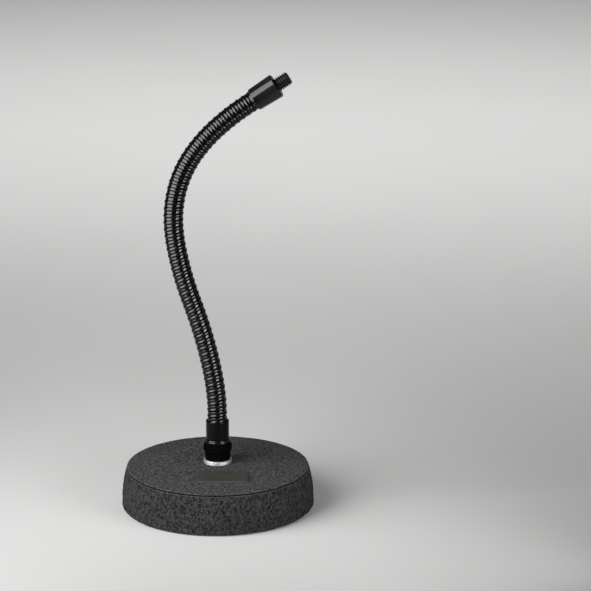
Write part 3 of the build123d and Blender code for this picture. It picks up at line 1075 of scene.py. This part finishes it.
def makeFitting():
    f = fittingSizes
    ringHigh = alongAxis("zinc_ring", tableMiddle, upright)[1]
    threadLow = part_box("foot_fitting")[0].z
    threadRadius = f["threadDiameter"] / 2
    shank, bead, lip, throat = [f[part] / 2 for part in (
        "shankDiameter", "beadDiameter", "lipDiameter", "neckDiameter"
    )]
    beadLow = f["shankTop"] + f["beadUnder"]
    beadHigh = beadLow + f["beadSide"]
    lipLow = beadHigh + f["beadSlope"]
    lipHigh = lipLow + f["lipHeight"]
    throatHigh = lipHigh + f["neckHeight"]
    corners = [
        (shank, ringHigh, f["shankFootRound"]), (shank, f["shankTop"], f["shankTopRound"]),
        (bead, beadLow, f["beadRound"]), (bead, beadHigh, f["beadRound"]),
        (lip, lipLow, f["lipFootRound"]), (lip, lipHigh, f["lipRound"]),
        (throat, lipHigh, 0.0), (throat, throatHigh, f["lipRound"]), (0.0, throatHigh, 0.0),
    ]
    spacing = f["threadPitch"] / f["threadRows"]
    shown = Vector((threadRadius, threadLow + f["threadShown"]))
    rod = [Vector((0.0, threadLow)), Vector((threadRadius - f["threadChamfer"], threadLow))]
    rod += linePoints(Vector((threadRadius, threadLow + f["threadChamfer"])), shown, spacing)
    rod.append(Vector((threadRadius, ringHigh)))
    outline = rod + roundedOutline([(threadRadius, ringHigh, 0.0)] + corners)[1:]
    mesh = turnedMesh("footBlank", outline, f["segments"], False)
    markEdges(mesh, outline, corners, f["segments"])
    lacquer = [min(1.0, max(0.0, (point.y - lipLow) / f["lacquerFade"])) for point in outline]
    markRings(mesh, "lacquer", outline, lacquer, f["segments"])
    fitting = applyTree(addPiece("footBlank", mesh), threadTree, {
        "Pitch": f["threadPitch"], "Depth": f["threadDepth"], "Radius": threadRadius, "From": threadLow,
        "To": threadLow + f["threadShown"], "Chamfer": 0.0, "Material": blacks["blackMatte"],
    }, "footFitting")
    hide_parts("foot_fitting")
    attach(fitting, "base")


makeRing()
makeFerrule()
makeFitting()
print("foot made")


# Top: collar and threaded stud, along the leaning end of the neck

collarSizes = {
    "segments": 160,
    "rearRound": 0.5 * mm,
    "flare": 0.65 * mm,  # what the collar's radius gains from its rear end to its front
    "frontChamfer": 0.6 * mm,
    "chamferRound": 0.18 * mm,
    "bore": 13.7 * mm,
    "boreRound": 0.1 * mm,
    "frontWall": 5.0 * mm,
    "studHole": 10.3 * mm,
    "studHoleRound": 0.2 * mm,
}
studSizes = {
    "segments": 120,
    "shankDiameter": 10.2 * mm,
    "threadPitch": 25.4 / 16 * mm,
    "threadDepth": 0.95 * mm,
    "threadRows": 14,
    "threadLead": 0.01 * mm,  # the cut starts this far behind the collar's front
    "chamfer": 1.0 * mm,
    "endInset": 0.15 * mm,
}
topOrigin = jointPoints[-1]
collarRear, collarFront, collarRadius = alongAxis("top_collar", topOrigin, tipAxis)
wallRear = collarFront - collarSizes["frontWall"]


def makeCollar():
    c = collarSizes
    bore, hole, chamfer = c["bore"] / 2, c["studHole"] / 2, c["frontChamfer"]
    makeTurned("topCollar", [
        (bore, collarRear, c["boreRound"]), (collarRadius - c["flare"], collarRear, c["rearRound"]),
        (collarRadius, collarFront - chamfer, c["chamferRound"]),
        (collarRadius - chamfer, collarFront, c["chamferRound"]),
        (hole, collarFront, c["studHoleRound"]), (hole, wallRear, 0.0), (bore, wallRear, 0.0),
    ], c["segments"], blacks["blackGloss"], topOrigin, tipAxis, "top_collar", "tip")


def makeStud():
    s = studSizes
    end = alongAxis("top_stud", topOrigin, tipAxis)[1]
    radius = micStud["dims"]["r_mm"] * mm
    shank = s["shankDiameter"] / 2
    outline = [Vector(corner) for corner in ((0.0, wallRear), (shank, wallRear), (shank, collarFront))]
    rod = (Vector((radius, collarFront)), Vector((radius, end)))
    outline += linePoints(*rod, s["threadPitch"] / s["threadRows"])
    outline += [Vector((radius - s["chamfer"] - s["endInset"], end)), Vector((0.0, end))]
    blank = addPiece("studBlank", turnedMesh("studBlank", outline, s["segments"], False))
    stud = applyTree(blank, threadTree, {
        "Pitch": s["threadPitch"], "Depth": s["threadDepth"], "Radius": radius,
        "From": collarFront - s["threadLead"], "To": end, "Chamfer": s["chamfer"],
        "Material": blacks["blackThread"],
    }, "topStud")
    placePiece(stud, topOrigin, tipAxis)
    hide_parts("top_stud")
    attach(stud, "tip")


makeCollar()
makeStud()
print("top made")


# CAD nodes that keep their own shape

nodeFinishes = {
    "rubber_ring": rubber, "badge_plate": badge, "flat_washer": zinc, "lock_washer": zinc, "base_nut": zinc,
}
for node, finish in nodeFinishes.items():
    for materialSlot in nodes[node].material_slots:
        materialSlot.material = finish
print("finishes set on", len(nodeFinishes), "CAD nodes")
